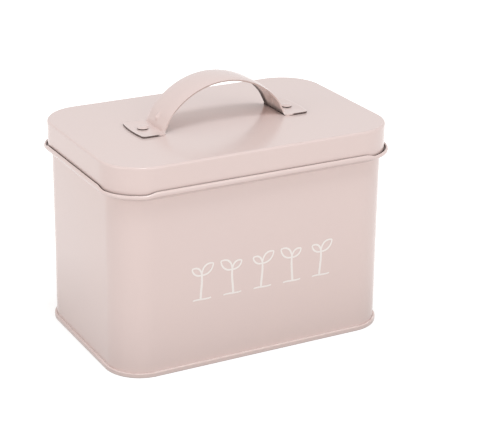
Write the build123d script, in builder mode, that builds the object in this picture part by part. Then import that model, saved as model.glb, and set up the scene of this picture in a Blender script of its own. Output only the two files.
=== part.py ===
from build123d import *
import math
import os

os.makedirs("parts", exist_ok=True)

# Garden seed organizer box: a painted steel tin with a lift-off lid, a strap handle riveted to
# the lid, and a set of divider cards that stand across the box and slide along it.
# X runs along the width, the front faces -Y, and Z is up from the surface that the tin stands on.

# ---------------------------------------------------------------- driving dimensions, mm

# box wall
sheet = 0.4
wall_width = 157.5
wall_depth = 101.8
wall_corner = 18.8

# rim: the wall flares outwards under the lid and ends in a rolled edge; along the straight sides
# the edge is curled upwards, and round the corners it stays low, straight at the end of the flare
flare_start = 96.1
flare_slope = 38.0
flare_bend = 0.8
rim_rise = 5.32
rim_proud = 4.29
rim_roll = 0.6
roll_facets = 8
lip_slope = 80.0
settle_arc = 16.0

# lock seam that closes the wall at the middle of the back
lock_seam_width = 5.0
lock_seam_layers = 2
lock_groove = 0.3

# base: a pressed panel whose edge is folded round the wall's bottom hook
fold_gap = 0.02
seam_height = 2.4
seam_edge = 0.25
floor_height = 3.4
floor_step = 0.8
floor_border = 9.0

# lid
lid_proud = 2.53
lid_corner = 22.6
lid_height = 114.0
lid_edge_round = 1.75
lid_inner_bevel = 0.8
lid_hem = 3.0
hem_fold = 0.25
lid_seat_gap = 0.3

# strap handle
strap = 0.8
strap_width = 21.0
strap_crown = 0.8
arch_radius = 39.6
arch_half_angle = 56.0
arch_rise = 23.1
foot_bend = 2.3
foot_blend = 4.5
crown_at_bend = 0.6
crown_in_bend = 0.3
width_at_bend = 24.0
width_in_bend = 25.4
tab_width = 26.0
tab_length = 11.15
tab_bulge = 1.8
tab_corner = 2.0

# rivets
rivet_inset = 4.65
rivet_shank = 3.0
rivet_head = 6.5
rivet_head_height = 1.3
dome_facets = 2
rivet_tail = 5.0
rivet_tail_height = 0.8
rivet_play = 0.1

# divider cards
card_count = 12
card_width = 147.0
card_height = 95.0
card_thickness = 0.6
tab_clip = 3.0
card_pitch = 6.8
card_lift = 0.2
tab_positions = 4
index_tab_width = 30.0
index_tab_height = 9.0
index_tab_margin = 3.0

# ---------------------------------------------------------------- derived places

layer = sheet + fold_gap
seam_proud = 3 * layer
roll_out = rim_proud - rim_roll
lid_width = wall_width + 2 * lid_proud
lid_depth = wall_depth + 2 * lid_proud

# upper face of the flare where the lid's skirt comes down on it
flare = math.radians(flare_slope)
seat_height = flare_start + math.tan(flare) * lid_proud + sheet / math.cos(flare)
lid_bottom = seat_height + lid_seat_gap

# height of the roll's centre on the straight sides and round the corners
side_roll = flare_start + rim_rise - rim_roll
corner_roll = flare_start + math.tan(flare) * roll_out + sheet / 2 / math.cos(flare)

# the strap's underside: a round arch, a straight flank down to the lid, and a bend into the tab
arch_centre = lid_height + arch_rise - arch_radius
flank_tilt = math.radians(arch_half_angle)
flank_top = Vector(arch_radius * math.sin(flank_tilt), 0, arch_centre + arch_radius * math.cos(flank_tilt))
flank_run = (flank_top.Z - lid_height) / math.sin(flank_tilt)
bend_run = foot_bend * math.tan(flank_tilt / 2)
foot_x = flank_top.X + flank_run * math.cos(flank_tilt) + bend_run
tab_reach = foot_x + tab_length
rivet_x = foot_x + rivet_inset

# ---------------------------------------------------------------- shared shapes


def outline(proud, mode=Mode.ADD):
    # the wall's plan outline, moved outwards by proud (inwards if negative)
    RectangleRounded(wall_width + 2 * proud, wall_depth + 2 * proud, wall_corner + proud, mode=mode)


def band(inner, outer, bottom, top):
    # upright ring of sheet between two offsets of the wall's outline
    with BuildSketch(Plane.XY.offset(bottom)) as ring:
        outline(outer)
        outline(inner, mode=Mode.SUBTRACT)
    extrude(ring.sketch, amount=top - bottom)


def plate(proud, bottom, top):
    with BuildSketch(Plane.XY.offset(bottom)) as sheet_plan:
        outline(proud)
    extrude(sheet_plan.sketch, amount=top - bottom)


def corner_plane(centre, radius, angle):
    # upright plane square to a rounded corner: local x points outwards from the corner's face
    outwards = Vector(math.cos(math.radians(angle)), math.sin(math.radians(angle)), 0)
    along = outwards.cross(Vector(0, 0, 1))
    return Plane(origin=centre + outwards * radius, x_dir=outwards, z_dir=along)


# ---------------------------------------------------------------- box wall with its rolled rim

rim_root = flare_start - 2 * flare_bend


def slope_vectors(angle):
    # directions along and square to a sheet that climbs outwards at this angle
    return Vector(math.cos(angle), math.sin(angle)), Vector(-math.sin(angle), math.cos(angle))


def rim_section(plane, settled):
    # settled is 0 on the straight sides, where the lip is curled up, and 1 round the corners
    roll = Vector(roll_out, side_roll + (corner_roll - side_roll) * settled)
    lip_angle = lip_slope + (flare_slope - lip_slope) * settled
    along_flare, across_flare = slope_vectors(flare)
    along_lip, _ = slope_vectors(math.radians(lip_angle))
    upper_seat = Vector(lid_proud, seat_height)
    under_seat = upper_seat - across_flare * sheet
    under_bend = Vector(0, flare_start)
    wall_bevel = Vector(0, flare_bend)
    flare_bevel = along_flare * flare_bend
    upper_bend = Vector(-sheet, seat_height - math.tan(flare) * (lid_proud + sheet))
    lip_half = math.degrees(math.asin(sheet / 2 / rim_roll))
    # the roll is drawn with short straight facets, because it is turned round every corner
    roll_start = lip_angle - 180 + lip_half
    facet = (360 - 2 * lip_half) / roll_facets
    roll_turns = [math.radians(roll_start + facet * count) for count in range(roll_facets + 1)]
    edge = [roll + Vector(math.cos(turn), math.sin(turn)) * rim_roll for turn in roll_turns]
    with BuildSketch(plane) as section:
        with BuildLine():
            Polyline((0, rim_root), under_bend - wall_bevel, under_bend + flare_bevel, under_seat)
            Spline(under_seat, edge[0], tangents=(along_flare, along_lip))
            Polyline(edge)
            Spline(edge[-1], upper_seat, tangents=(-along_lip, -along_flare))
            Polyline(upper_seat, upper_bend + flare_bevel, upper_bend - wall_bevel, (-sheet, rim_root))
            Line((-sheet, rim_root), (0, rim_root))
        make_face()
    return section.sketch


corner_x = wall_width / 2 - wall_corner
corner_y = wall_depth / 2 - wall_corner
settle_steps = 2

with BuildPart() as body_shell:
    band(-sheet, 0, layer, rim_root)
    # body hook at the foot of the wall
    band(-sheet, 2 * layer, layer, layer + sheet)
    band(layer + fold_gap, 2 * layer, layer, seam_height - layer)
    # rim: each corner is a low arc between two stretches that rise to the straight sides
    for turn, (side_x, side_y) in enumerate([(1, 1), (-1, 1), (-1, -1), (1, -1)]):
        centre = Vector(side_x * corner_x, side_y * corner_y, 0)
        start = 90 * turn
        falling = []
        rising = []
        for step in range(settle_steps + 1):
            share = step / settle_steps
            settled = share**2 * (3 - 2 * share)
            turned = settle_arc * share
            fall_plane = corner_plane(centre, wall_corner, start + turned)
            rise_plane = corner_plane(centre, wall_corner, start + 90 - turned)
            falling.append(rim_section(fall_plane, settled))
            rising.append(rim_section(rise_plane, settled))
        loft(falling, ruled=True)
        loft(rising, ruled=True)
        revolve(falling[-1], Axis(centre, (0, 0, 1)), revolution_arc=90 - 2 * settle_arc)
        run = 2 * corner_x if turn % 2 == 0 else 2 * corner_y
        extrude(rising[0], amount=-run)
    # lock seam: folded layers inside, and the fold's groove outside
    seam_foot = floor_height + sheet
    seam_length = rim_root - seam_foot
    back_inside = wall_depth / 2 - sheet
    with Locations((0, back_inside, seam_foot)):
        Box(
            lock_seam_width,
            lock_seam_layers * sheet,
            seam_length,
            align=(Align.CENTER, Align.MAX, Align.MIN),
        )
    with Locations((lock_seam_width / 2, wall_depth / 2, seam_height + sheet)):
        Box(
            lock_groove,
            sheet / 2,
            rim_root - seam_height - sheet,
            align=(Align.CENTER, Align.MAX, Align.MIN),
            mode=Mode.SUBTRACT,
        )
body_shell.part.label = "body_shell"
export_step(body_shell.part, "parts/body_shell.step")

# ---------------------------------------------------------------- base panel

with BuildPart() as base_panel:
    # outside of the seam, its turned-in hook and its foot
    band(2 * layer + fold_gap, seam_proud, 0, seam_height)
    band(fold_gap, seam_proud, seam_height - sheet, seam_height)
    band(fold_gap, layer, 2 * layer, seam_height)
    band(-layer - sheet, seam_proud, 0, sheet)
    ends = base_panel.faces().sort_by(Axis.Z)
    chamfer(ends[0].outer_wire().edges() + ends[-1].outer_wire().edges(), seam_edge)
    # inner wall that climbs to the floor, a lower border and a raised middle
    band(-layer - sheet, -layer, 0, floor_height - floor_step)
    border_top = floor_height - floor_step
    band(-floor_border - sheet, -layer, border_top - sheet, border_top)
    band(-floor_border - sheet, -floor_border, border_top - sheet, floor_height)
    plate(-floor_border, floor_height - sheet, floor_height)
base_panel.part.label = "base_panel"
export_step(base_panel.part, "parts/base_panel.step")

# ---------------------------------------------------------------- lid


def skirt_section(plane):
    # from the top's edge round and down the skirt to the hem folded up inside it
    edge_centre = Vector(-lid_edge_round, lid_height - lid_edge_round)
    hem_top = lid_bottom + lid_hem
    with BuildSketch(plane) as section:
        with BuildLine():
            edge = CenterArc(edge_centre, lid_edge_round, 0, 90)
            Polyline(
                edge @ 1,
                (-lid_edge_round, lid_height - sheet),
                (-sheet - lid_inner_bevel, lid_height - sheet),
                (-sheet, lid_height - sheet - lid_inner_bevel),
                (-sheet, hem_top),
                (-2 * sheet, hem_top),
                (-2 * sheet, lid_bottom + hem_fold),
                (-2 * sheet + hem_fold, lid_bottom),
                (-hem_fold, lid_bottom),
                (0, lid_bottom + hem_fold),
                edge @ 0,
            )
        make_face()
    return section.sketch


with BuildPart() as lid:
    lid_corner_x = lid_width / 2 - lid_corner
    lid_corner_y = lid_depth / 2 - lid_corner
    for turn, (side_x, side_y) in enumerate([(1, 1), (-1, 1), (-1, -1), (1, -1)]):
        centre = Vector(side_x * lid_corner_x, side_y * lid_corner_y, 0)
        skirt = skirt_section(corner_plane(centre, lid_corner, 90 * turn))
        revolve(skirt, Axis(centre, (0, 0, 1)), revolution_arc=90)
        extrude(skirt, amount=2 * lid_corner_y if turn % 2 == 0 else 2 * lid_corner_x)
    with BuildSketch(Plane.XY.offset(lid_height - sheet)):
        flat_width = lid_width - 2 * lid_edge_round
        flat_depth = lid_depth - 2 * lid_edge_round
        RectangleRounded(flat_width, flat_depth, lid_corner - lid_edge_round)
    extrude(amount=sheet)
    with Locations((-rivet_x, 0, lid_height), (rivet_x, 0, lid_height)):
        Hole(rivet_shank / 2 + rivet_play)
lid.part.label = "lid"
export_step(lid.part, "parts/lid.step")

# ---------------------------------------------------------------- strap handle

down_flank = Vector(math.cos(flank_tilt), 0, -math.sin(flank_tilt))
bend_top = flank_top + down_flank * (flank_run - bend_run)
blend_top = bend_top - down_flank * foot_blend


def strap_section(origin, tilt, crown, width):
    # section square to the strap where it slopes down by tilt radians towards +X; the strap is
    # slightly crowned across its width, and the crown fades into the flat tab
    plane = Plane(
        origin=origin,
        x_dir=(0, 1, 0),
        z_dir=(math.cos(tilt), 0, -math.sin(tilt)),
    )
    half = width / 2
    with BuildSketch(plane) as section:
        with BuildLine():
            if crown > 0:
                ThreePointArc((-half, 0), (0, crown), (half, 0))
            else:
                Line((-half, 0), (half, 0))
            Line((half, 0), (half, strap))
            if crown > 0:
                ThreePointArc((half, strap), (0, strap + crown), (-half, strap))
            else:
                Line((half, strap), (-half, strap))
            Line((-half, strap), (-half, 0))
        make_face()
    return section.sketch


def bend_point(share):
    # point on the bend at the foot, from its top (0) to the tab (1), with its tilt
    tilt = flank_tilt * (1 - share)
    centre = Vector(foot_x, 0, lid_height + foot_bend)
    return centre + Vector(-math.sin(tilt), 0, -math.cos(tilt)) * foot_bend, tilt


with BuildPart() as handle:
    top_section = strap_section(Vector(0, 0, lid_height + arch_rise), 0, strap_crown, strap_width)
    revolve(top_section, Axis((0, 0, arch_centre), (0, 1, 0)), revolution_arc=arch_half_angle)
    flank_section = strap_section(flank_top, flank_tilt, strap_crown, strap_width)
    extrude(flank_section, amount=flank_run - bend_run - foot_blend)
    middle_point, middle_tilt = bend_point(0.5)
    foot_point, foot_tilt = bend_point(1)
    loft(
        [
            strap_section(blend_top, flank_tilt, strap_crown, strap_width),
            strap_section(bend_top, flank_tilt, crown_at_bend, width_at_bend),
            strap_section(middle_point, middle_tilt, crown_in_bend, width_in_bend),
            strap_section(foot_point, foot_tilt, 0, tab_width),
        ],
        ruled=True,
    )
    with BuildSketch(Plane.XY.offset(lid_height)) as tab:
        near, far = -tab_width / 2, tab_width / 2
        with BuildLine():
            Polyline((tab_reach, near), (foot_x, near), (foot_x, far), (tab_reach, far))
            ThreePointArc((tab_reach, far), (tab_reach + tab_bulge, 0), (tab_reach, near))
        make_face()
        fillet(tab.vertices().group_by(Axis.X)[-1], tab_corner)
        with Locations((rivet_x, 0)):
            Circle(rivet_shank / 2 + rivet_play, mode=Mode.SUBTRACT)
    extrude(amount=strap)
    mirror(about=Plane.YZ)
handle.part.label = "handle"
export_step(handle.part, "parts/handle.step")

# ---------------------------------------------------------------- rivets


def rivet(name, x):
    head_seat = lid_height + strap
    tail_seat = lid_height - sheet
    # the low dome is turned from a few straight facets of its arc
    dome_radius = (rivet_head**2 / 4 + rivet_head_height**2) / (2 * rivet_head_height)
    dome_centre = Vector(0, head_seat + rivet_head_height - dome_radius)
    dome_spread = math.asin(rivet_head / 2 / dome_radius)
    dome_turns = [dome_spread * count / dome_facets for count in range(dome_facets + 1)]
    dome = [dome_centre + Vector(math.sin(turn), math.cos(turn)) * dome_radius for turn in dome_turns]
    with BuildPart() as pin:
        with BuildSketch(Plane(origin=(x, 0, 0), x_dir=(1, 0, 0), z_dir=(0, -1, 0))):
            with BuildLine():
                Polyline(
                    (0, head_seat + rivet_head_height),
                    (0, tail_seat - rivet_tail_height),
                    (rivet_tail / 2, tail_seat - rivet_tail_height),
                    (rivet_tail / 2, tail_seat),
                    (rivet_shank / 2, tail_seat),
                    (rivet_shank / 2, head_seat),
                    (rivet_head / 2, head_seat),
                )
                Polyline(dome)
            make_face()
        revolve(axis=Axis((x, 0, 0), (0, 0, 1)))
    pin.part.label = name
    export_step(pin.part, f"parts/{name}.step")


rivet("rivet_left", -rivet_x)
rivet("rivet_right", rivet_x)

# ---------------------------------------------------------------- divider cards

card_foot = floor_height + card_lift
first_card = -card_pitch * (card_count - 1) / 2
tab_travel = card_width - index_tab_width - 2 * index_tab_margin

for number in range(card_count):
    card_y = first_card + number * card_pitch
    tab_place = number % tab_positions / (tab_positions - 1) - 0.5
    with BuildPart() as card:
        with BuildSketch(Plane(origin=(0, card_y, 0), x_dir=(1, 0, 0), z_dir=(0, -1, 0))) as face:
            with Locations((0, card_foot)):
                Rectangle(card_width, card_height, align=(Align.CENTER, Align.MIN))
            with Locations((tab_place * tab_travel, card_foot + card_height)):
                Rectangle(index_tab_width, index_tab_height, align=(Align.CENTER, Align.MIN))
            chamfer(face.vertices().group_by(Axis.Y)[-1], tab_clip)
        extrude(amount=card_thickness / 2, both=True)
    name = f"divider_card_{number + 1:02d}"
    card.part.label = name
    export_step(card.part, f"parts/{name}.step")
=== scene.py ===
import math

import bmesh
import bpy
from mathutils import Matrix, Vector


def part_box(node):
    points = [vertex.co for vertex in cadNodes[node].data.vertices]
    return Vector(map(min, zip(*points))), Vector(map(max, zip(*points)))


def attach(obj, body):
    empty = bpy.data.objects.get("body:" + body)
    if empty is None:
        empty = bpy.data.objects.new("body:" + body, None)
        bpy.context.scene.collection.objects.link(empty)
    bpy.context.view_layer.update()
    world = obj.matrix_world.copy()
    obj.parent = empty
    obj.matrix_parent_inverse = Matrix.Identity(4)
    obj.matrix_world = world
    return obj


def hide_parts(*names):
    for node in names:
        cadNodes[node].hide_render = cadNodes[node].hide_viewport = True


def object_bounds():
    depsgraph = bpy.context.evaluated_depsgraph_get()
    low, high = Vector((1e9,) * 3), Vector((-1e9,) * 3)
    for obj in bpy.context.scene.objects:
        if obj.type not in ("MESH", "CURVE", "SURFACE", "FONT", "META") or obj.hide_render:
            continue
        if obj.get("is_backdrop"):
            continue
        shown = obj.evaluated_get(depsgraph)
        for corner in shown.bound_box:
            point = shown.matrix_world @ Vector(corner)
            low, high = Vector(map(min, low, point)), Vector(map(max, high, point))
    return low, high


# Garden seed tin: an enamelled steel box with a lift-off lid, a riveted strap handle
# and twelve divider cards. Sizes are in millimetres until they are placed.
mm = 0.001
near = 0.01  # a point this close to a place counts as on it
mergeWithin = 0.002 * mm  # and points this close to each other become one
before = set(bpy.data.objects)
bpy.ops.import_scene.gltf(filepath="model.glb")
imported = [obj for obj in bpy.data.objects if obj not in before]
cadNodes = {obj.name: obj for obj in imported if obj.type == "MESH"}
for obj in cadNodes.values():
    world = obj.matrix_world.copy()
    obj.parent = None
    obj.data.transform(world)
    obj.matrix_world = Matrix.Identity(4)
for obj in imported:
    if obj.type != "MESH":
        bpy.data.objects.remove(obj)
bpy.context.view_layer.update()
print("frame loaded:", len(cadNodes), "nodes")


# small helpers


def linear(hexColour):
    # sRGB hex to the linear colour that the shaders work in
    shares = [int(hexColour[i : i + 2], 16) / 255 for i in (0, 2, 4)]
    return [c / 12.92 if c <= 0.04045 else ((c + 0.055) / 1.055) ** 2.4 for c in shares] + [1.0]


def addNode(tree, kind, sockets=None, **settings):
    node = tree.nodes.new(kind)
    for name, value in settings.items():
        setattr(node, name, value)
    for name, value in (sockets or {}).items():
        if isinstance(value, bpy.types.NodeSocket):
            tree.links.new(value, node.inputs[name])
        else:
            node.inputs[name].default_value = value
    return node


def smooth(share):
    share = min(max(share, 0), 1)
    return share * share * (3 - 2 * share)


def direction(angle):
    return Vector((math.cos(angle), math.sin(angle)))


def arcPoints(centre, radius, start, end, steps):
    # a round stretch of a section, angles in degrees
    x, y = centre
    turns = [math.radians(start + (end - start) * i / steps) for i in range(steps + 1)]
    return [Vector((x + radius * math.cos(t), y + radius * math.sin(t))) for t in turns]


def easePoints(start, startWay, end, endWay, pull, steps):
    # a curve that leaves along startWay and arrives along endWay, without its two end points
    first, last = start + startWay * pull, end - endWay * pull
    found = []
    for i in range(1, steps):
        t, left = i / steps, 1 - i / steps
        found.append(
            start * left**3 + first * 3 * t * left**2 + last * 3 * t * t * left + end * t**3
        )
    return found


def pick(piece, test, openOnly=False):
    # selects the points of the piece in edit mode whose place passes the test; with
    # openOnly they also have to lie on an open edge
    bpy.ops.mesh.select_all(action="DESELECT")
    shape = bmesh.from_edit_mesh(piece.data)
    for point in shape.verts:
        if (point.is_boundary or not openOnly) and test(point.co / mm):
            point.select_set(True)
    shape.select_flush(True)
    bmesh.update_edit_mesh(piece.data)


def startPoint(name, place):
    # a small plane, merged to the one point that a section is drawn from
    bpy.ops.object.select_all(action="DESELECT")
    bpy.ops.mesh.primitive_plane_add(size=mm, location=place)
    piece = bpy.context.object
    piece.name = piece.data.name = name
    bpy.ops.object.transform_apply()
    bpy.ops.object.mode_set(mode="EDIT")
    bpy.ops.mesh.select_mode(type="VERT")
    bpy.ops.mesh.select_all(action="SELECT")
    bpy.ops.mesh.merge(type="CENTER")
    return piece


def drawSection(name, places):
    piece = startPoint(name, places[0])
    for here, there in zip(places, places[1:]):
        bpy.ops.mesh.extrude_region_move(TRANSFORM_OT_translate={"value": there - here})
    bpy.ops.mesh.select_all(action="SELECT")
    bpy.ops.mesh.remove_doubles(threshold=mergeWithin)
    return piece


def closeUp(piece, sharpAngle=40):
    bpy.ops.object.mode_set(mode="EDIT")
    bpy.ops.mesh.select_all(action="SELECT")
    bpy.ops.mesh.remove_doubles(threshold=mergeWithin)
    bpy.ops.mesh.normals_make_consistent(inside=False)
    bpy.ops.object.mode_set(mode="OBJECT")
    bpy.ops.object.shade_smooth_by_angle(angle=math.radians(sharpAngle))


def applyModifier(piece, kind, **settings):
    bpy.ops.object.modifier_add(type=kind)
    modifier = piece.modifiers[-1]
    for name, value in settings.items():
        setattr(modifier, name, value)
    bpy.ops.object.modifier_apply(modifier=modifier.name)


def carryRound(name, section, size, frontStops=(0,)):
    # section: (out from the side, height) points. It is spun round one corner, run along half
    # of each side and mirrored to the other three corners.
    halfWidth, halfDepth = size["width"] / 2, size["depth"] / 2
    cornerX, cornerY = halfWidth - size["corner"], halfDepth - size["corner"]
    piece = drawSection(name, [Vector((halfWidth + p[0], cornerY, p[1])) * mm for p in section])
    bpy.ops.mesh.select_all(action="SELECT")
    # with no window the spin turns clockwise for a positive angle
    bpy.ops.mesh.spin(
        steps=size["cornerSteps"],
        angle=-math.pi / 2,
        center=(cornerX * mm, cornerY * mm, 0),
        axis=(0, 0, 1),
    )
    pick(piece, lambda at: abs(at.y - cornerY) < near and at.x > cornerX)
    bpy.ops.mesh.extrude_region_move(TRANSFORM_OT_translate={"value": (0, -cornerY * mm, 0)})
    pick(piece, lambda at: abs(at.x - cornerX) < near and at.y > cornerY)
    for here, there in zip((cornerX, *frontStops), frontStops):
        step = ((there - here) * mm, 0, 0)
        bpy.ops.mesh.extrude_region_move(TRANSFORM_OT_translate={"value": step})
    bpy.ops.object.mode_set(mode="OBJECT")
    applyModifier(piece, "MIRROR", use_axis=(True, True, False), merge_threshold=mergeWithin)
    return piece


def fillLevel(piece, height):
    # closes the flat inner panel of a pressing at one height
    bpy.ops.object.mode_set(mode="EDIT")
    pick(piece, lambda at: abs(at.z - height) < near, openOnly=True)
    bpy.ops.mesh.edge_face_add()
    bpy.ops.object.mode_set(mode="OBJECT")


def dress(piece, material):
    piece.data.materials.clear()
    piece.data.materials.append(material)


# materials


def startMaterial(name):
    material = bpy.data.materials.new(name)
    material.use_nodes = True
    tree = material.node_tree
    place = addNode(tree, "ShaderNodeTexCoord").outputs["Object"]
    return material, tree, tree.nodes["Principled BSDF"], place


enamelLook = {
    "colour": "e0cac5",
    "warmer": "e2cbc4",
    "driftSize": 70,  # slow drift of the sprayed coat
    "driftRange": (0.3, 0.7),
    "roughness": (0.15, 0.24),
    "paintedEdgeHighlight": "f6e6e1",
    "edgeHighlightRange": (0.53, 0.64),  # how sharp an edge is where the painted highlight starts
    "edgeHighlightShare": 0.8,
    "peelSize": 1.6,  # orange peel of the baked coat
    "peelDepth": 0.004,
    "waveSize": 45,  # slight unevenness of the thin sheet
    "waveDepth": 0.05,
    "paintedGapShade": "3a2c28",  # painted shade in the closed gaps
    "gapShadeReach": 3.0,
    "gapShadeRange": (0.5, 0.18),
    "gapShadeShare": 0.9,
    "gapShadeRays": 12,
}


def drawnTint(tree, place, colour, drawn):
    # a tint that grows between two values of one function of the place
    apart = addNode(tree, "ShaderNodeSeparateXYZ", {"Vector": place})
    across, along, height = (apart.outputs[axis] for axis in "XYZ")
    measure = height
    if drawn["along"] == "trailing side":
        turn = addNode(tree, "ShaderNodeMath", {0: across}, operation="SIGN").outputs["Value"]
        sided = addNode(tree, "ShaderNodeMath", {0: along, 1: turn}, operation="MULTIPLY")
        measure = sided.outputs["Value"]
    elif drawn["along"] == "out from the middle":
        measure = addNode(
            tree, "ShaderNodeMath", {0: across}, operation="ABSOLUTE"
        ).outputs["Value"]
    growth = {"From Min": drawn["from"] * mm, "From Max": drawn["full"] * mm}
    share = addNode(
        tree,
        "ShaderNodeMapRange",
        {"Value": measure, "To Max": drawn["share"], **growth},
        interpolation_type="SMOOTHSTEP",
    ).outputs["Result"]
    return addNode(
        tree, "ShaderNodeMix", {0: share, 6: colour, 7: linear(drawn["colour"])}, data_type="RGBA"
    ).outputs[2]


def makeEnamel(name, look):
    # gloss enamel sprayed on tinplate steel and baked: smooth, with a faint orange peel that
    # breaks up the reflections, painted paler along sharp edges as a highlight, and painted
    # dark in closed gaps as shade
    material, tree, shader, place = startMaterial(name)
    drift = addNode(
        tree,
        "ShaderNodeTexNoise",
        {"Vector": place, "Scale": 1 / (look["driftSize"] * mm), "Detail": 3.0},
    ).outputs["Fac"]
    coat = addNode(
        tree,
        "ShaderNodeMix",
        {0: drift, 6: linear(look["colour"]), 7: linear(look["warmer"])},
        data_type="RGBA",
    ).outputs[2]
    # painted highlight: the sharper a convex edge, the paler its colour
    edge = addNode(tree, "ShaderNodeNewGeometry").outputs["Pointiness"]
    low, high = look["edgeHighlightRange"]
    edgeHighlight = addNode(
        tree,
        "ShaderNodeMapRange",
        {"Value": edge, "From Min": low, "From Max": high, "To Max": look["edgeHighlightShare"]},
    ).outputs["Result"]
    colour = addNode(
        tree, "ShaderNodeMix", {0: edgeHighlight, 6: coat, 7: linear(look["paintedEdgeHighlight"])}, data_type="RGBA"
    ).outputs[2]
    # painted shade: where ambient occlusion finds a closed gap, the colour turns dark brown
    openness = addNode(
        tree,
        "ShaderNodeAmbientOcclusion",
        {"Distance": look["gapShadeReach"] * mm},
        samples=look["gapShadeRays"],
    ).outputs["AO"]
    low, high = look["gapShadeRange"]
    settled = addNode(
        tree,
        "ShaderNodeMapRange",
        {"Value": openness, "From Min": low, "From Max": high, "To Max": look["gapShadeShare"]},
    ).outputs["Result"]
    colour = addNode(
        tree, "ShaderNodeMix", {0: settled, 6: colour, 7: linear(look["paintedGapShade"])}, data_type="RGBA"
    ).outputs[2]
    for drawn in look.get("drawn", ()):
        colour = drawnTint(tree, place, colour, drawn)
    (low, high), (smoothest, roughest) = look["driftRange"], look["roughness"]
    spread = {"From Min": low, "From Max": high, "To Min": smoothest, "To Max": roughest}
    gloss = addNode(tree, "ShaderNodeMapRange", {"Value": drift, **spread}).outputs["Result"]
    wave = addNode(
        tree,
        "ShaderNodeTexNoise",
        {"Vector": place, "Scale": 1 / (look["waveSize"] * mm), "Detail": 0.0},
    ).outputs["Fac"]
    peel = addNode(
        tree,
        "ShaderNodeTexNoise",
        {"Vector": place, "Scale": 1 / (look["peelSize"] * mm), "Detail": 1.0},
    ).outputs["Fac"]
    sheetBump = addNode(
        tree,
        "ShaderNodeBump",
        {"Height": wave, "Distance": look["waveDepth"] * mm, "Strength": 1.0},
    ).outputs["Normal"]
    coatBump = addNode(
        tree,
        "ShaderNodeBump",
        {"Height": peel, "Distance": look["peelDepth"] * mm, "Strength": 1.0, "Normal": sheetBump},
    ).outputs["Normal"]
    tree.links.new(colour, shader.inputs["Base Color"])
    tree.links.new(gloss, shader.inputs["Roughness"])
    tree.links.new(coatBump, shader.inputs["Normal"])
    shader.inputs["IOR"].default_value = 1.5
    return material


cardLook = {
    "paper": "f3ecdd",
    "fibre": "e6dcc8",
    "fibreSize": 0.5,
    "fibreDepth": 0.02,
    "cloudSize": 12,
    "cloudRange": (0.15, 0.4),
    "roughness": (0.82, 0.95),
}


def makeCardStock(name, look):
    # uncoated card: matt, with short pale and dark fibres and a faint cloudiness
    material, tree, shader, place = startMaterial(name)
    fibre = addNode(
        tree,
        "ShaderNodeTexNoise",
        {"Vector": place, "Scale": 1 / (look["fibreSize"] * mm), "Detail": 4.0},
    ).outputs["Fac"]
    cloud = addNode(
        tree,
        "ShaderNodeTexNoise",
        {"Vector": place, "Scale": 1 / (look["cloudSize"] * mm), "Detail": 2.0},
    ).outputs["Fac"]
    both = addNode(
        tree, "ShaderNodeMath", {0: fibre, 1: cloud}, operation="MULTIPLY"
    ).outputs["Value"]
    low, high = look["cloudRange"]
    share = addNode(
        tree, "ShaderNodeMapRange", {"Value": both, "From Min": low, "From Max": high}
    ).outputs["Result"]
    colour = addNode(
        tree,
        "ShaderNodeMix",
        {0: share, 6: linear(look["paper"]), 7: linear(look["fibre"])},
        data_type="RGBA",
    ).outputs[2]
    smoothest, roughest = look["roughness"]
    rough = addNode(
        tree, "ShaderNodeMapRange", {"Value": fibre, "To Min": smoothest, "To Max": roughest}
    ).outputs["Result"]
    bump = addNode(
        tree,
        "ShaderNodeBump",
        {"Height": fibre, "Distance": look["fibreDepth"] * mm, "Strength": 0.6},
    ).outputs["Normal"]
    tree.links.new(colour, shader.inputs["Base Color"])
    tree.links.new(rough, shader.inputs["Roughness"])
    tree.links.new(bump, shader.inputs["Normal"])
    shader.inputs["IOR"].default_value = 1.45
    return material


inkLook = {
    "colour": "5b5450",
    "paler": "6d655f",
    "grain": 0.6,
    "grainDepth": 0.01,
    "roughness": (0.54, 0.66),
}


def makeInk(name, look):
    # screen-printed ink: a thin even film, very slightly broken where the mesh laid it down
    material, tree, shader, place = startMaterial(name)
    film = addNode(
        tree,
        "ShaderNodeTexNoise",
        {"Vector": place, "Scale": 1 / (look["grain"] * mm), "Detail": 3.0},
    ).outputs["Fac"]
    tint = addNode(
        tree,
        "ShaderNodeMix",
        {0: film, 6: linear(look["colour"]), 7: linear(look["paler"])},
        data_type="RGBA",
    ).outputs[2]
    smoothest, roughest = look["roughness"]
    rough = addNode(
        tree, "ShaderNodeMapRange", {"Value": film, "To Min": smoothest, "To Max": roughest}
    ).outputs["Result"]
    bump = addNode(
        tree,
        "ShaderNodeBump",
        {"Height": film, "Distance": look["grainDepth"] * mm, "Strength": 0.5},
    ).outputs["Normal"]
    tree.links.new(tint, shader.inputs["Base Color"])
    tree.links.new(rough, shader.inputs["Roughness"])
    tree.links.new(bump, shader.inputs["Normal"])
    return material


rivetLook = dict(enamelLook, colour="dfc9c4", warmer="e1cac3")
# under the strap: a paler enamel as painted light, dark on the trailing side and at the feet as
# painted shade
underLook = dict(
    enamelLook,
    colour="ecdcd6",
    warmer="eddcd4",
    drawn=(
        {"along": "trailing side", "from": 6.0, "full": 8.6, "share": 0.94, "colour": "3b2c28"},
        {"along": "height", "from": 118.4, "full": 114.6, "share": 0.85, "colour": "3b2c28"},
    ),
)
# on the strap's sheared edge the enamel is darker as painted shade, paler down the legs as painted
# light, and near black round the tabs as painted shadow
shearedLook = dict(enamelLook, colour="c4ada6", warmer="bfa8a1", paintedEdgeHighlight="cdb8b1")
shearedLook["drawn"] = tuple(
    {"along": "out from the middle", "from": start, "full": full, "share": share, "colour": tint}
    for start, full, share, tint in ((26.0, 33.0, 0.9, "e4d0ca"), (38.2, 40.2, 0.94, "5a4844"))
)
whiteInkLook = dict(inkLook, colour="f3ebe6", paler="efe5df", roughness=(0.29, 0.41))

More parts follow.
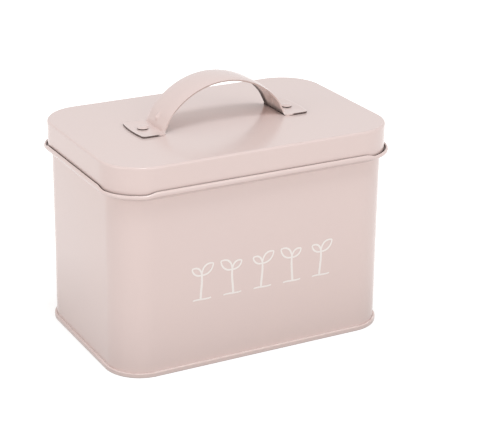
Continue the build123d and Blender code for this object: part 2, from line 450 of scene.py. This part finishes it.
enamel = makeEnamel("bakedEnamelOnSteel", enamelLook)
rivetEnamel = makeEnamel("bakedEnamelOnRivets", rivetLook)
underEnamel = makeEnamel("bakedEnamelUnderStrapPaintedLightAndShade", underLook)
shearedEnamel = makeEnamel("enamelOnShearedEdgePaintedLightAndShade", shearedLook)
cardStock = makeCardStock("uncoatedCard", cardLook)
tabInk = makeInk("greyPrintingInk", inkLook)
whiteInk = makeInk("offWhiteEnamelInk", whiteInkLook)
print("materials made")


# tin wall with its flared, rolled rim

tinWall = {
    "width": 157.5,
    "depth": 101.8,
    "corner": 18.8,
    "cornerSteps": 24,
    "sheet": 0.4,
    "foot": 0.45,
    "flareStart": 96.1,
    "flareSlope": 38,
    "flareBend": 0.8,
    "seatOut": 2.53,
    "rollOut": 3.46,
    "roll": 0.8,
    "sideTall": 1.75,  # the curl is flattened against the lid: its height over its width
    "cornerTall": 1.3,
    "lipSlope": 80,
    "settleArc": 16,  # degrees round a corner in which the lip comes down
    "rollSteps": 22,
    "bendSteps": 5,
    "grooveX": 2.5,
    "grooveWidth": 0.3,
    "grooveDepth": 0.22,
    "grooveFoot": (3.4, 4.2),  # heights where the groove starts and where it is full
    "grooveTop": (93.3, 93.9),  # heights where it starts to fade and where it ends
}


def rimSection(wall, settled):
    # settled is 0 on the sides, where the lip is curled up, and 1 round the corners
    sheet, roll, start = wall["sheet"], wall["roll"], wall["flareStart"]
    slope = math.radians(wall["flareSlope"])
    along = direction(slope)
    across = Vector((-along.y, along.x))
    seatHeight = start + math.tan(slope) * wall["seatOut"] + sheet / math.cos(slope)
    seat = Vector((wall["seatOut"], seatHeight))
    underSeat = seat - across * sheet
    tall = wall["sideTall"] + (wall["cornerTall"] - wall["sideTall"]) * settled
    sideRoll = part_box("body_shell")[1].z / mm - roll * wall["sideTall"]
    cornerRoll = start + math.tan(slope) * wall["rollOut"] + sheet / 2 / math.cos(slope)
    rollCentre = Vector((wall["rollOut"], sideRoll + (cornerRoll - sideRoll) * settled))
    lipSlope = wall["lipSlope"] + (wall["flareSlope"] - wall["lipSlope"]) * settled
    lipWay = direction(math.radians(lipSlope))
    halfGap = math.degrees(math.asin(sheet / 2 / roll))
    rollStart, rollEnd = lipSlope - 180 + halfGap, lipSlope + 180 - halfGap
    rollArc = arcPoints(rollCentre, roll, rollStart, rollEnd, wall["rollSteps"])
    rollArc = [Vector((p.x, rollCentre.y + (p.y - rollCentre.y) * tall)) for p in rollArc]
    turn = math.radians(90 - wall["flareSlope"]) / 2
    bend, bendEnd, steps = wall["flareBend"], 90 + wall["flareSlope"], wall["bendSteps"]
    bendCentre = (bend, start - bend * math.tan(turn))
    lowBend = arcPoints(bendCentre, bend, 180, bendEnd, steps)
    highBend = arcPoints(bendCentre, bend + sheet, bendEnd, 180, steps)
    pull = (rollArc[0] - underSeat).length / 3
    lowLip = easePoints(underSeat, along, rollArc[0], lipWay, pull, steps)
    highLip = easePoints(rollArc[-1], -lipWay, seat, -along, pull, steps)
    wallRows = [wall["foot"], *wall["grooveFoot"], *wall["grooveTop"]]
    outside = [Vector((0, z)) for z in wallRows] + lowBend + [underSeat] + lowLip
    inside = highLip + [seat] + highBend + [Vector((-sheet, z)) for z in reversed(wallRows)]
    return outside + rollArc + inside


def settleRim(piece, wall):
    # round each corner the lip drops from its curl on the sides down to the flare's own slope
    side, low = rimSection(wall, 0), rimSection(wall, 1)
    cornerX, cornerY = wall["width"] / 2 - wall["corner"], wall["depth"] / 2 - wall["corner"]
    for point in piece.data.vertices:
        at = point.co / mm
        away = Vector((abs(at.x) - cornerX, abs(at.y) - cornerY))
        if at.z < wall["flareStart"] or min(away) <= near:
            continue
        turned = math.degrees(math.atan2(away.y, away.x))
        settled = smooth(min(turned, 90 - turned) / wall["settleArc"])
        local = Vector((away.length - wall["corner"], at.z))
        match = min(range(len(side)), key=lambda i: (side[i] - local).length)
        moved = side[match].lerp(low[match], settled)
        reach = away.normalized() * (wall["corner"] + moved.x)
        x = math.copysign(cornerX + reach.x, at.x)
        y = math.copysign(cornerY + reach.y, at.y)
        point.co = Vector((x, y, moved.y)) * mm


groove = tinWall["grooveX"]
grooveEdge = tinWall["grooveWidth"] / 2
grooveFull = tinWall["grooveFoot"][1] - near, tinWall["grooveTop"][0] + near
rim = rimSection(tinWall, 0)
tinShell = carryRound(
    "tinShell",
    rim + rim[:1],
    tinWall,
    frontStops=(groove + grooveEdge, groove, groove - grooveEdge, 0),
)
settleRim(tinShell, tinWall)
# the fold of the lock seam shows outside, on the back, as one fine groove
bpy.ops.object.mode_set(mode="EDIT")
pick(
    tinShell,
    lambda at: abs(at.x - groove) < near
    and abs(at.y - tinWall["depth"] / 2) < near
    and grooveFull[0] < at.z < grooveFull[1],
)
bpy.ops.transform.translate(value=(0, -tinWall["grooveDepth"] * mm, 0))
closeUp(tinShell)
dress(tinShell, enamel)
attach(tinShell, "tin")
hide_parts("body_shell")

lockSeam = {"width": 5.0, "layers": 0.8, "sunk": 0.02, "foot": 3.6, "top": 94.4, "edge": 0.3}
seamBack = tinWall["depth"] / 2 - tinWall["sheet"] + lockSeam["sunk"]
seamPlace = (0, seamBack - lockSeam["layers"] / 2, (lockSeam["foot"] + lockSeam["top"]) / 2)
seamSize = (lockSeam["width"], lockSeam["layers"], lockSeam["top"] - lockSeam["foot"])
bpy.ops.object.select_all(action="DESELECT")
bpy.ops.mesh.primitive_cube_add(
    size=1, location=Vector(seamPlace) * mm, scale=Vector(seamSize) * mm
)
foldedSeam = bpy.context.object
foldedSeam.name = foldedSeam.data.name = "foldedLockSeam"
bpy.ops.object.transform_apply()
applyModifier(foldedSeam, "BEVEL", width=lockSeam["edge"] * mm, segments=4)
closeUp(foldedSeam)
dress(foldedSeam, enamel)
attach(foldedSeam, "tin")
print("tin wall made")


# base panel: outside of the double seam, its foot, and the raised floor

basePressing = {
    "width": tinWall["width"],
    "depth": tinWall["depth"],
    "corner": tinWall["corner"],
    "cornerSteps": tinWall["cornerSteps"],
    "seamOut": 1.26,
    "seamTop": 2.4,
    "layer": 0.42,
    "sheet": 0.4,
    "wallGap": 0.01,
    "topRound": 0.08,
    "edgeRound": 0.4,
    "roundSteps": 6,
    "border": 9.0,
    "borderTop": 2.6,
    "floorTop": 3.4,
    "stepRun": 1.2,
    "ring": 1.5,  # a row of faces round the flat floor
    "crease": 0.3,  # and narrow ones beside each bend, which keep its shading crisp
    "fineCrease": 0.1,
}


def baseSection(base):
    out, top, sheet, layer = base["seamOut"], base["seamTop"], base["sheet"], base["layer"]
    edge, gap, topRound = base["edgeRound"], base["wallGap"], base["topRound"]
    crease, fine, steps = base["crease"], base["fineCrease"], base["roundSteps"]
    floorTop, borderTop = base["floorTop"], base["borderTop"]
    floorFoot, borderFoot = floorTop - sheet, borderTop - sheet
    stepOut = -base["border"]
    stepIn = stepOut - base["stepRun"]
    fold = -layer - sheet
    points = [(stepIn - base["ring"], floorTop), (stepIn - crease, floorTop), (stepIn, floorTop)]
    points += [(stepOut, borderTop), (stepOut + crease, borderTop)]
    points += [(-layer - crease, borderTop), (-layer, borderTop), (-layer, sheet)]
    points += [(2 * layer, sheet), (2 * layer, top - sheet), (gap, top - sheet)]
    points += [(gap, top - topRound), (gap + topRound, top), (out - edge - fine, top)]
    points += arcPoints((out - edge, top - edge), edge, 90, 0, steps)
    points += [(out, top - edge - fine), (out, edge + fine)]
    points += arcPoints((out - edge, edge), edge, 0, -90, steps)
    points += [(out - edge - fine, 0), (fold + edge + fine, 0)]
    points += arcPoints((fold + edge, edge), edge, -90, -180, steps)
    points += [(fold, borderFoot - fine), (fold, borderFoot), (fold - crease, borderFoot)]
    points += [(stepOut + crease, borderFoot), (stepOut, borderFoot), (stepIn, floorFoot)]
    points += [(stepIn - crease, floorFoot), (stepIn - base["ring"], floorFoot)]
    return [Vector(p) for p in points]


baseSeam = carryRound("basePressing", baseSection(basePressing), basePressing)
fillLevel(baseSeam, basePressing["floorTop"])
fillLevel(baseSeam, basePressing["floorTop"] - basePressing["sheet"])
closeUp(baseSeam)
dress(baseSeam, enamel)
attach(baseSeam, "tin")
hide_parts("base_panel")
print("base made")


# lid: a shallow pressing with a rounded edge and a hem folded up inside its skirt

lidPressing = {
    "width": 162.56,
    "depth": 106.86,
    "corner": 22.6,
    "cornerSteps": 25,  # odd, so that no row of points lies on the corner's own diagonal
    "edgeRound": 1.15,
    "roundSteps": 8,
    "sheet": 0.4,
    "hem": 3.0,
    "rings": (6.0, 2.5, 0.3),  # rows of faces round the flat top, in from its edge
    "crease": 0.3,
    "foldCrease": 0.2,
}
lidLow, lidHigh = (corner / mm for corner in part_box("lid"))
lidTop, lidFoot = lidHigh.z, lidLow.z


def lidSection(lid):
    edge, sheet, crease, steps = (lid[k] for k in ("edgeRound", "sheet", "crease", "roundSteps"))
    edgeCentre = (-edge, lidTop - edge)
    hemTop = lidFoot + lid["hem"]
    points = [(-edge - ring, lidTop) for ring in lid["rings"]]
    points += arcPoints(edgeCentre, edge, 90, 0, steps)
    points += [(0, lidTop - edge - crease), (0, lidFoot + sheet + lid["foldCrease"])]
    points += arcPoints((-sheet, lidFoot + sheet), sheet, 0, -180, steps)
    points += [(-2 * sheet, hemTop), (-sheet, hemTop), (-sheet, lidTop - edge - crease)]
    points += arcPoints(edgeCentre, edge - sheet, 0, 90, steps)
    points += [(-edge - ring, lidTop - sheet) for ring in reversed(lid["rings"])]
    return [Vector(p) for p in points]


lidShell = carryRound("lidPressing", lidSection(lidPressing), lidPressing)
fillLevel(lidShell, lidTop)
fillLevel(lidShell, lidTop - lidPressing["sheet"])
closeUp(lidShell)
dress(lidShell, enamel)
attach(lidShell, "lid")
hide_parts("lid")
print("lid made")


# strap handle: one crowned strap, flattened into a tab at each foot

strap = {
    "thickness": 0.8,
    "width": 21.0,
    "tabWidth": 26.0,
    "crown": 0.8,
    "crownPower": 3,  # the higher it is, the closer to the edges the crown falls away
    "crownFade": 4.0,
    "archRadius": 39.6,
    "archHalfAngle": 50,
    "archRise": 23.08,
    "shoulderRadius": 15.0,
    "legTilt": 64,
    "footBend": 0.8,
    "widening": 3.0,
    "wideAtFoot": 0.7,  # how much of the widening's run lies before the foot
    "tabLength": 12.5,
    "tabBulge": 1.3,
    "tabCorner": 1.6,
    "tabLift": 0.22,
    "endLiftFrom": 0.7,  # shares of the tab's length and half width
    "sideLiftFrom": 0.6,
    "sideLiftFull": 0.25,
    "pinchStart": 3.6,
    "pinchEnd": 10.4,
    "pinchHalfWidth": 1.5,
    "pinchHeight": 0.95,
    "pinchSlopes": (2.5, 1.6),  # how steeply the ridge rises and falls
    "edgeRound": 0.3,
    "archRows": 30,  # rows of faces: over the arch, round the foot's bend, and in the tab
    "footRows": 36,
    "tabRows": 14,
    "footZone": (-11, 0.5),  # where the rows of the foot's bend start and end
    "across": 48,
    "edgeCrowding": 0.35,  # how far the lengthwise rows crowd to the edges
    "sharpAngle": 50,
}


def strapPlan(form):
    # how far along the strap's underside, from the top of the arch, each stretch ends
    side, tilt = math.radians(form["archHalfAngle"]), math.radians(form["legTilt"])
    archEnd = form["archRadius"] * side
    archFoot = Vector((math.sin(side), math.cos(side))) * form["archRadius"]
    archFoot.y += form["archRise"] - form["archRadius"]
    shoulder = Vector((math.sin(tilt) - math.sin(side), math.cos(tilt) - math.cos(side)))
    shoulderEnd = archEnd + form["shoulderRadius"] * (tilt - side)
    legTop = archFoot + shoulder * form["shoulderRadius"]
    bendReach = form["footBend"] * math.tan(tilt / 2)
    bendStart = shoulderEnd + legTop.y / math.sin(tilt) - bendReach
    return {
        "side": side,
        "tilt": tilt,
        "archEnd": archEnd,
        "archFoot": archFoot,
        "shoulderEnd": shoulderEnd,
        "legTop": legTop,
        "bendStart": bendStart,
        "foot": bendStart + form["footBend"] * tilt,
        "footX": legTop.x + legTop.y / math.tan(tilt) + bendReach,
    }


def legPlace(form, plan, run):
    # place and lean of the underside between the top of the arch and the foot
    side, tilt, radius = plan["side"], plan["tilt"], form["archRadius"]
    if run <= plan["archEnd"]:
        turned = run / radius
        place = Vector((math.sin(turned), math.cos(turned))) * radius
        place.y += form["archRise"] - radius
    elif run <= plan["shoulderEnd"]:
        turned = side + (run - plan["archEnd"]) / form["shoulderRadius"]
        place = Vector((math.sin(turned) - math.sin(side), math.cos(turned) - math.cos(side)))
        place = plan["archFoot"] + place * form["shoulderRadius"]
    elif run <= plan["bendStart"]:
        turned = tilt
        down = Vector((math.cos(tilt), -math.sin(tilt)))
        place = plan["legTop"] + down * (run - plan["shoulderEnd"])
    else:
        bend = form["footBend"]
        turned = (plan["foot"] - run) / bend
        place = Vector((plan["footX"] - bend * math.sin(turned), bend * (1 - math.cos(turned))))
    return place, turned


def tabPlace(form, plan, run, share, y):
    # the tab's end is bowed, with round corners
    corner = form["tabCorner"]
    reach = form["tabLength"] + form["tabBulge"] * (1 - share * share)
    inCorner = abs(y) - (form["tabWidth"] / 2 - corner)
    if inCorner > 0:
        reach -= corner - math.sqrt(max(corner**2 - inCorner**2, 0))
    along = (run - plan["foot"]) / form["tabLength"]
    # the rivet holds the tab down, and its free edges stand very slightly off the lid
    endFrom, sideFrom = form["endLiftFrom"], form["sideLiftFrom"]
    endLift = smooth((along - endFrom) / (1 - endFrom))
    sideLift = smooth((abs(share) - sideFrom) / (1 - sideFrom))
    sideLift *= smooth(along / form["sideLiftFull"])
    return Vector((plan["footX"] + reach * along, form["tabLift"] * max(endLift, sideLift)))


def strapPoint(form, plan, run, share):
    # run: distance from the top of the arch along the strap; share: -1 to 1 across it
    out, foot = abs(run), plan["foot"]
    fade = smooth((foot - out) / form["crownFade"])
    wide = smooth((out - foot) / form["widening"] + form["wideAtFoot"])
    y = share * ((form["width"] + (form["tabWidth"] - form["width"]) * wide) / 2)
    if out < foot:
        place, turned = legPlace(form, plan, out)
    else:
        place, turned = tabPlace(form, plan, out, share, y), 0
    up = Vector((math.sin(turned), math.cos(turned)))
    lift = form["crown"] * fade * (1 - abs(share) ** form["crownPower"])
    # the crown is pinched to a short ridge above the bend
    start, end = form["pinchStart"], form["pinchEnd"]
    along = (foot - out - start) / (end - start)
    if 0 < along < 1:
        rising, falling = form["pinchSlopes"]
        onRidge = max(1 - abs(y) / form["pinchHalfWidth"], 0)
        ridge = smooth(along * rising) * smooth((1 - along) * falling) * onRidge
        lift += form["pinchHeight"] * ridge
    place = place + up * lift
    return Vector((math.copysign(place.x, run), y, lidTop + place.y)) * mm


plan = strapPlan(strap)
rowEnds = [plan["foot"] + past for past in (*strap["footZone"], strap["tabLength"])]
rowCounts = (strap["archRows"], strap["footRows"], strap["tabRows"])
stops = [0]
for here, there, parts in zip((0, *rowEnds), rowEnds, rowCounts):
    stops += [here + (there - here) * i / parts for i in range(1, parts + 1)]
runs = [-run for run in reversed(stops[1:])] + stops
bpy.ops.object.select_all(action="DESELECT")
bpy.ops.mesh.primitive_grid_add(
    x_subdivisions=len(runs) - 1,
    y_subdivisions=strap["across"],
    size=1,
    location=(0, 0, lidTop * mm),
)
strapHandle = bpy.context.object
strapHandle.name = strapHandle.data.name = "strapHandle"
bpy.ops.object.transform_apply()
for point in strapHandle.data.vertices:
    row = round((point.co.x + 0.5) * (len(runs) - 1))
    crowded, even = math.sin(point.co.y * math.pi), point.co.y * 2
    share = crowded * strap["edgeCrowding"] + even * (1 - strap["edgeCrowding"])
    point.co = strapPoint(strap, plan, runs[row], share)
for finish in (enamel, underEnamel, shearedEnamel):
    strapHandle.data.materials.append(finish)
applyModifier(
    strapHandle,
    "SOLIDIFY",
    thickness=strap["thickness"] * mm,
    offset=1,
    use_even_offset=True,
    material_offset=1,
    material_offset_rim=2,
)
applyModifier(
    strapHandle,
    "BEVEL",
    width=strap["edgeRound"] * mm,
    segments=2,
    limit_method="ANGLE",
    angle_limit=math.radians(strap["sharpAngle"]),
)
closeUp(strapHandle, strap["sharpAngle"])
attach(strapHandle, "lid")
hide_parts("handle")
print("handle made")


# rivets: a low dome over the tab and a flat tail under the lid

rivet = {
    "head": 5.9,
    "headHeight": 1.3,
    "rimHeight": 0.78,
    "rimRound": 0.16,
    "undercut": 1.3,
    "shank": 3.0,
    "tail": 5.0,
    "tailHeight": 0.8,
    "tailEdge": 0.4,
    "domeSteps": 10,
    "rimArc": (50, -60, 5),  # degrees where the rim's round starts and ends, and its steps
    "turns": 48,
    "sharpAngle": 35,
}


def rivetSection(form):
    head, shank, tail = form["head"] / 2, form["shank"] / 2, form["tail"] / 2
    seat = lidTop + strap["thickness"]
    tailTop = lidTop - lidPressing["sheet"]
    tailFoot, tailMiddle = tailTop - form["tailHeight"], tailTop - form["tailHeight"] / 2
    rim = form["rimRound"]
    reach = head - rim / 2
    dome = form["headHeight"] - form["rimHeight"]
    radius = (reach**2 + dome**2) / (2 * dome)
    spread = math.degrees(math.asin(reach / radius))
    domeCentre = (0, seat + form["headHeight"] - radius)
    points = arcPoints(domeCentre, radius, 90, 90 - spread, form["domeSteps"])
    points += arcPoints((head - rim, seat + form["rimHeight"] - rim), rim, *form["rimArc"])
    points += [(head - form["undercut"], seat), (shank, seat), (shank, tailTop), (tail, tailTop)]
    points += [(tail, tailMiddle), (tail - form["tailEdge"], tailFoot), (0, tailFoot)]
    return [Vector(p) for p in points]


for name, node in (("rivetOnTheLeft", "rivet_left"), ("rivetOnTheRight", "rivet_right")):
    low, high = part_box(node)
    middle = (low.x + high.x) / 2
    places = [Vector((middle + p[0] * mm, 0, p[1] * mm)) for p in rivetSection(rivet)]
    pin = drawSection(name, places)
    bpy.ops.mesh.select_all(action="SELECT")
    bpy.ops.mesh.spin(
        steps=rivet["turns"], angle=2 * math.pi, center=(middle, 0, 0), axis=(0, 0, 1)
    )
    closeUp(pin, rivet["sharpAngle"])
    dress(pin, rivetEnamel)
    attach(pin, "lid")
    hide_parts(node)
print("rivets made")


# divider cards keep their CAD shape; each tab carries its plain number

tabNumber = {"cards": 12, "size": 6.5, "drop": 4.6, "film": 0.03, "tabTop": 1.0}

for number in range(1, tabNumber["cards"] + 1):
    node = f"divider_card_{number:02d}"
    card = cadNodes[node]
    dress(card, cardStock)
    low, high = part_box(node)
    tabFrom = high.z - tabNumber["tabTop"] * mm
    tabSides = [point.co.x for point in card.data.vertices if point.co.z > tabFrom]
    middle = (min(tabSides) + max(tabSides)) / 2
    film = tabNumber["film"] / 2 * mm
    bpy.ops.object.select_all(action="DESELECT")
    bpy.ops.object.text_add(location=(0, 0, 0))
    digits = bpy.context.object
    digits.name = f"tabNumber{number:02d}"
    digits.data.body = str(number)
    digits.data.size = tabNumber["size"] * mm
    digits.data.align_x = "CENTER"
    digits.data.align_y = "CENTER"
    digits.data.extrude = film
    digits.data.resolution_u = 4
    bpy.ops.object.convert(target="MESH")
    digits = bpy.context.object
    digits.rotation_euler = (math.pi / 2, 0, 0)
    digits.location = (middle, low.y - film, high.z - tabNumber["drop"] * mm)
    bpy.ops.object.transform_apply()
    dress(digits, tabInk)
    closeUp(digits)
    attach(digits, f"card_{number:02d}")
print("cards made")


# print on the front: a row of five plain seedlings in thin strokes

seedlings = {
    "count": 5,
    "left": -34.0,
    "pitch": 17.5,
    "foot": 37.5,
    "height": 18.5,
    "stroke": 0.62,
    "film": 0.05,
    "filmOut": 0.2,  # how far off the wall the film's middle is, as a share of the film
    # a stem's points are mm aside and shares of its height
    "stem": ((-0.6, 0), (-0.5, 0.25), (0.5, 0.5), (0, 0.72)),
    "stemWeights": (1, 1, 1, 0.8),
    "wideLeaf": (6.6, 0.30),  # mm out, and its rise as a share of the stem's height
    "narrowLeaf": (5.4, 0.22),
    # a leaf's points between root and tip: mm and share of the leaf out, mm and share up
    "leafTop": ((0.4, 0, 0, 0.9), (0, 0.5, 0.9, 1)),
    "leafTopWeights": (0.7, 0.8, 0.9, 0.6),
    "leafFoot": ((0, 0.4, -0.6, 0), (0, 0.95, 0, 0.2)),
    "leafFootWeights": (0.7, 0.8, 0.8, 0.6),
    "ground": ((-5.0, -0.2), (-2.0, 0.5), (2.0, -0.7), (5.4, 0.1)),
    "groundWeights": (0.6, 0.8, 0.8, 0.6),
}


def drawStroke(points, weights):
    # a flat brushed line on the front wall, as wide at each point as its weight says
    bpy.ops.object.select_all(action="DESELECT")
    bpy.ops.curve.primitive_nurbs_path_add(location=(0, 0, 0))
    line = bpy.context.object
    line.data.splines.clear()
    spline = line.data.splines.new("NURBS")
    spline.points.add(len(points) - 1)
    for point, (x, z), weight in zip(spline.points, points, weights):
        point.co = (x * mm, 0, z * mm, 1)
        point.radius = weight * seedlings["stroke"]
    spline.order_u = 4
    spline.use_endpoint_u = True
    spline.resolution_u = 8
    line.data.bevel_depth = mm
    line.data.bevel_resolution = 2
    line.data.use_fill_caps = True
    bpy.ops.object.convert(target="MESH")
    line = bpy.context.object
    line.scale.y = seedlings["film"] / 2
    line.location.y = (-tinWall["depth"] / 2 - seedlings["film"] * seedlings["filmOut"]) * mm
    bpy.ops.object.transform_apply()
    return line


def drawSeedling(x, lean):
    # a stem, a leaf on each side with the wide one where it leans, and a line of ground
    foot, tall = seedlings["foot"], seedlings["height"]
    stem = [(x + aside * lean, foot + share * tall) for aside, share in seedlings["stem"]]
    drawn = [drawStroke(stem, seedlings["stemWeights"])]
    root = stem[-1]
    for side in (-1, 1):
        wide, rise = seedlings["wideLeaf" if side == lean else "narrowLeaf"]
        tip = (x + side * wide, root[1] + rise * tall)
        for edge in ("leafTop", "leafFoot"):
            between = [
                (x + side * (aside + out * wide), root[1] + up + share * rise * tall)
                for aside, out, up, share in seedlings[edge]
            ]
            drawn.append(drawStroke([root, *between, tip], seedlings[edge + "Weights"]))
    ground = [(x + aside, foot + up) for aside, up in seedlings["ground"]]
    drawn.append(drawStroke(ground, seedlings["groundWeights"]))
    return drawn


strokes = []
for number in range(seedlings["count"]):
    lean = 1 if number % 2 == 0 else -1
    strokes += drawSeedling(seedlings["left"] + seedlings["pitch"] * number, lean)
bpy.ops.object.select_all(action="DESELECT")
for line in strokes:
    line.select_set(True)
bpy.context.view_layer.objects.active = strokes[0]
bpy.ops.object.join()
frontPrint = bpy.context.object
frontPrint.name = frontPrint.data.name = "frontSeedlingPrint"
closeUp(frontPrint)
dress(frontPrint, whiteInk)
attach(frontPrint, "tin")
print("front print made")


# floor, light and camera

studio = {
    "floor": "efeeed",
    "floorShadeNearTin": "adaaa8",  # painted shade: the sheet darkens towards the tin
    "nearInset": 5,
    "nearStart": 8,
    "nearEnd": 85,
    "floorLift": 0.7,
    "floorSize": 6000,
    "room": 0.6,
    "aim": (0, 0, 60),
}
white = (1, 1, 1)
lamps = {
    "overheadSoftbox": {
        "place": (-150, -420, 1300),
        "size": 420,
        "power": 4.85,
        "colour": (0.89, 1.0, 1.055),
    },
    "frontSoftbox": {"place": (350, -1500, 700), "size": 1200, "power": 5.7, "colour": white},
    "leftSoftbox": {"place": (-1400, -200, 650), "size": 1100, "power": 4.2, "colour": white},
}


def seenOrMirrored(tree):
    # 1 where a surface is looked at or mirrored, 0 where it only lights the scene
    rays = addNode(tree, "ShaderNodeLightPath").outputs
    return addNode(
        tree,
        "ShaderNodeMath",
        {0: rays["Is Camera Ray"], 1: rays["Is Glossy Ray"]},
        operation="MAXIMUM",
    ).outputs["Value"]


def makeFloor():
    # matt pale sheet: it keeps the shadow, is painted darker towards the tin as shade, and is
    # lifted to white where it is seen or mirrored
    material, tree, shader, place = startMaterial("paleMattSheet")
    tree.nodes.remove(shader)
    # distance outside the tin's footprint, measured on the sheet
    inset = studio["nearInset"]
    footprint = Vector((tinWall["width"] / 2 - inset, tinWall["depth"] / 2 - inset, 0)) * mm
    aside = addNode(
        tree, "ShaderNodeVectorMath", {0: place}, operation="ABSOLUTE"
    ).outputs["Vector"]
    past = addNode(
        tree, "ShaderNodeVectorMath", {0: aside, 1: footprint}, operation="SUBTRACT"
    ).outputs["Vector"]
    clear = addNode(
        tree, "ShaderNodeVectorMath", {0: past, 1: (0, 0, 0)}, operation="MAXIMUM"
    ).outputs["Vector"]
    far = addNode(tree, "ShaderNodeVectorMath", {0: clear}, operation="LENGTH").outputs["Value"]
    start, end = studio["nearStart"] * mm, studio["nearEnd"] * mm
    share = addNode(
        tree, "ShaderNodeMapRange", {"Value": far, "From Min": start, "From Max": end}
    ).outputs["Result"]
    sheet = addNode(
        tree,
        "ShaderNodeMix",
        {0: share, 6: linear(studio["floorShadeNearTin"]), 7: linear(studio["floor"])},
        data_type="RGBA",
    ).outputs[2]
    lift = addNode(
        tree,
        "ShaderNodeMath",
        {0: seenOrMirrored(tree), 1: studio["floorLift"]},
        operation="MULTIPLY",
    ).outputs["Value"]
    matt = addNode(tree, "ShaderNodeBsdfDiffuse", {"Color": sheet}).outputs[0]
    glow = addNode(tree, "ShaderNodeEmission", {"Color": (*white, 1), "Strength": lift}).outputs[0]
    both = addNode(tree, "ShaderNodeAddShader", {0: matt, 1: glow}).outputs[0]
    tree.links.new(both, tree.nodes["Material Output"].inputs["Surface"])
    return material


bpy.ops.object.select_all(action="DESELECT")
bpy.ops.mesh.primitive_plane_add(size=studio["floorSize"] * mm, location=(0, 0, 0))
floor = bpy.context.object
floor.name = "floor"
floor.data.materials.append(makeFloor())
floor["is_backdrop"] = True

world = bpy.data.worlds.new("softRoom")
bpy.context.scene.world = world
world.use_nodes = True
worldTree = world.node_tree
brightness = addNode(
    worldTree,
    "ShaderNodeMapRange",
    {"Value": seenOrMirrored(worldTree), "To Min": studio["room"], "To Max": 1.0},
).outputs["Result"]
room = worldTree.nodes["Background"]
room.inputs["Color"].default_value = (*white, 1)
worldTree.links.new(brightness, room.inputs["Strength"])

for name, light in lamps.items():
    bpy.ops.object.select_all(action="DESELECT")
    bpy.ops.object.light_add(type="AREA", location=Vector(light["place"]) * mm)
    lamp = bpy.context.object
    lamp.name = name
    lamp.data.shape = "DISK"
    lamp.data.size = light["size"] * mm
    lamp.data.energy = light["power"]
    lamp.data.color = light["colour"]
    towards = Vector(studio["aim"]) * mm - lamp.location
    lamp.rotation_euler = towards.to_track_quat("-Z", "Y").to_euler()

viewpoint = {
    "around": -27.52,
    "above": 21.64,
    "roll": 0.43,
    "distance": 865.34,
    "lens": 115.70,
    "sensor": 36,
    "shift": (0.0693, -0.0170),
    "clipStart": 10,
}
around, above, roll = (math.radians(viewpoint[k]) for k in ("around", "above", "roll"))
flat = math.cos(above)
back = Vector((math.sin(around) * flat, -math.cos(around) * flat, math.sin(above)))
level = (-back).cross(Vector((0, 0, 1))).normalized()
upright = level.cross(-back)
right = level * math.cos(roll) + upright * math.sin(roll)
up = -level * math.sin(roll) + upright * math.cos(roll)
bpy.ops.object.camera_add(location=(Vector(studio["aim"]) + back * viewpoint["distance"]) * mm)
camera = bpy.context.object
camera.rotation_euler = Matrix((right, up, back)).transposed().to_euler()
camera.data.sensor_width = viewpoint["sensor"]
camera.data.lens = viewpoint["lens"]
camera.data.shift_x, camera.data.shift_y = viewpoint["shift"]
camera.data.clip_start = viewpoint["clipStart"] * mm
bpy.context.scene.camera = camera
bpy.context.scene.view_settings.view_transform = "Standard"
print("studio set")

low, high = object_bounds()
